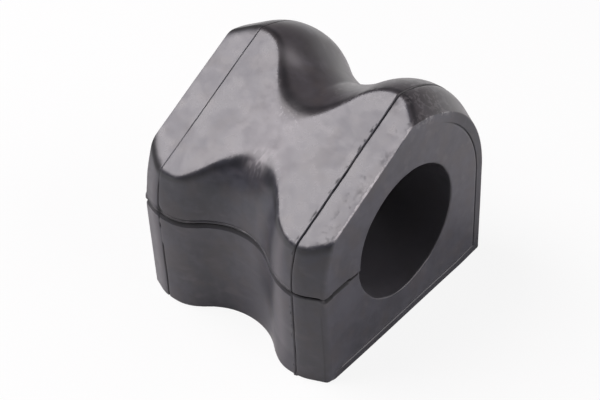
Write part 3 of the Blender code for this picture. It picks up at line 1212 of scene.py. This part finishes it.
# Noise in repeats for each metre: 150 makes patches of about 7 mm, and 1800 a grain of 0.6 mm.
PATCH_SCALE = 150.0
WARM_SCALE = 210.0
SOFT_SCALE = 240.0
STREAK_SCALE = 420.0
MOTTLE_SCALE = 520.0
FINE_SCALE = 1100.0
SMEAR_SCALE = 1300.0
GRAIN_SCALE = 1800.0
NICK_SCALE = 2700.0

rubber = bpy.data.materials.new("moulded_rubber")
graph = Graph(rubber)
place = graph.add("ShaderNodeTexCoord", output=3)
along = graph.add("ShaderNodeSeparateXYZ", {}, {0: place}, 0)
skin = graph.stored("skin")
flat = graph.stored("flat") * skin
patches = graph.noise(place, PATCH_SCALE, 3.0)
mottle = graph.noise(place, MOTTLE_SCALE)
bloom = graph.between(patches * 0.6 + mottle * 0.4, 0.36, 0.64)
warmth = graph.between(graph.noise(place, WARM_SCALE), 0.46, 0.66)
streak_place = graph.stretched(place, (0.25, 1.0, 1.0), (0.3, 0.1, 0.5))
streaks = graph.between(graph.noise(streak_place, STREAK_SCALE), 0.56, 0.74)

colour = graph.mix(bloom, DARK_GREY, LIGHT_GREY)
colour = graph.mix(warmth * 0.35, colour, WARM_GREY)
colour = graph.mix(graph.stored("dome") * 0.55, colour, WARM_GREY)
colour = graph.mix(streaks * 0.3, colour, RUBBED_AND_HIGHLIGHT_GREY)
# Pale wear, and a painted highlight on the crests.
colour = graph.mix(graph.stored("pale_rub_and_highlight") * 0.7, colour, RUBBED_AND_HIGHLIGHT_GREY)
colour = graph.mix(graph.stored("bore") * 0.8, colour, BORE_GREY)
# Painted shade in the band beside the flat.
colour = graph.mix(graph.stored("shade_beside_flat") * 0.65, colour, SHADE_AND_DIRT_GREY)
print("the plain colour takes", len(rubber.node_tree.nodes), "nodes")

# %% [markdown]
# Wear comes next. The edge between the flat and the near end face is rubbed pale in a broken line, and
# so are the dome's rim and the flat's bounds. At the waist a pale smear lies in streaks. Each is a
# place from the mesh times two noises: a fine one that makes the marks and a soft one that leaves gaps
# between groups of them. Two noises look worn, where one alone looks printed. The dome beside the flat
# also gets a painted highlight in the same pale grey, with no noise.

# %% Pale wear and a painted highlight
EDGE_WAVER = 1.6 * MM
EDGE_PLACES = (22.75 * MM, 23.15 * MM)

fine_marks = graph.noise(place, FINE_SCALE, 2.0, 0.6)
soft_marks = graph.noise(place, SOFT_SCALE, 3.0, 0.6)
edge_line = graph.between(along + (fine_marks - 0.5) * EDGE_WAVER, *EDGE_PLACES) * flat
edge_wear = edge_line * graph.between(soft_marks, 0.34, 0.52)
rim_wear = graph.stored("near_rim") * graph.between(fine_marks, 0.49, 0.55)
rim_wear = rim_wear * graph.between(soft_marks, 0.4, 0.55)
bounds_wear = graph.stored("flat_bounds") * graph.between(fine_marks, 0.5, 0.6)
bounds_wear = bounds_wear * graph.between(soft_marks, 0.45, 0.6) * 0.4
smear_noise = graph.noise(graph.stretched(place, (1.0, 0.4, 0.4)), SMEAR_SCALE, 1.0)
smear_and_highlight = graph.stored("waist_smear") * (graph.between(smear_noise, 0.38, 0.6) * 0.75 + 0.25)
# The painted highlight on the dome beside the flat.
smear_and_highlight = graph.larger(smear_and_highlight, graph.stored("dome_highlight") * 0.45)
wear_and_highlight = graph.larger(graph.larger(edge_wear, rim_wear), graph.larger(bounds_wear, smear_and_highlight))
colour = graph.mix(wear_and_highlight * 0.85, colour, PALE_WEAR_AND_HIGHLIGHT_GREY)
colour = graph.mix(graph.stored("bead_rub") * 0.35, colour, PALE_WEAR_AND_HIGHLIGHT_GREY)
print("with the pale wear it takes", len(rubber.node_tree.nodes), "nodes")

# %% [markdown]
# The darkening lies over the wear. In the slit and the mould lines, which the mesh knows, it is
# painted shade. Scuffs by the near edge of the flat, short nicks beside the near line and a few
# smudges are dirt, made by noise again. The darkening also takes the sheen away, so it raises the
# roughness.

# %% Painted shade, dirt, sheen and bump
RUBBER_IOR = 1.58
LEAST_ROUGHNESS = 0.18
SHEEN_MEAN = 0.145
BUMP_DISTANCE = 0.05 * MM
SCUFF_PLACES = (19.0 * MM, 21.0 * MM)
NICK_PLACE = (NEAR_LINE - 0.5) * MM
NICK_REACH = 0.4 * MM

scuffs = graph.between(along, *SCUFF_PLACES) * flat
scuffs = scuffs * graph.between(fine_marks * 0.6 + soft_marks * 0.4, 0.54, 0.62) * 0.3
from_nicks = graph.add("ShaderNodeMath", {"operation": "ABSOLUTE"}, {0: along - NICK_PLACE})
nick_noise = graph.noise(graph.stretched(place, (1.0, 0.35, 0.35)), NICK_SCALE, 1.0)
nicks = (1 - graph.between(from_nicks, 0.0, NICK_REACH)) * graph.between(soft_marks, 0.5, 0.56)
nicks = nicks * graph.between(nick_noise, 0.5, 0.6) * skin * 0.75
smudged = graph.between(fine_marks * 0.5 + mottle * 0.5, 0.42, 0.58) * 0.32
smudged = graph.stored("dark_smudge") * smudged
marks = graph.larger(graph.larger(nicks, scuffs), smudged)
# Painted shade from the mesh, with the dirt of the scuffs, nicks and smudges.
dirt = graph.larger(graph.stored("dirt"), marks)
colour = graph.mix(dirt, colour, SHADE_AND_DIRT_GREY)

varied = bloom * 0.06 + mottle * 0.1 + soft_marks * 0.08 + graph.between(patches, 0.44, 0.56) * 0.05
shown = skin * 0.3 + flat * 0.45 + 0.25
roughness = (varied - SHEEN_MEAN) * shown + (SHEEN_MEAN + LEAST_ROUGHNESS) + dirt * 0.45
bump_height = graph.noise(place, GRAIN_SCALE, 0.0) * 0.2 + mottle * 0.5 - nicks * 2.0
bump_sockets = {"Strength": 0.15, "Distance": BUMP_DISTANCE, "Height": bump_height}
bump = graph.add("ShaderNodeBump", {}, bump_sockets)
sockets = {"Base Color": colour, "Roughness": roughness, "Normal": bump, "IOR": RUBBER_IOR}
shader = graph.add("ShaderNodeBsdfPrincipled", {}, sockets)
graph.add("ShaderNodeOutputMaterial", {}, {"Surface": shader})
mesh.materials.append(rubber)
print("the whole rubber has", len(rubber.node_tree.nodes), "nodes")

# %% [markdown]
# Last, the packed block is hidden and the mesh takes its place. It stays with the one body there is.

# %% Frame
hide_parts("bushing")
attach(bushing, "root")
bpy.context.view_layer.update()
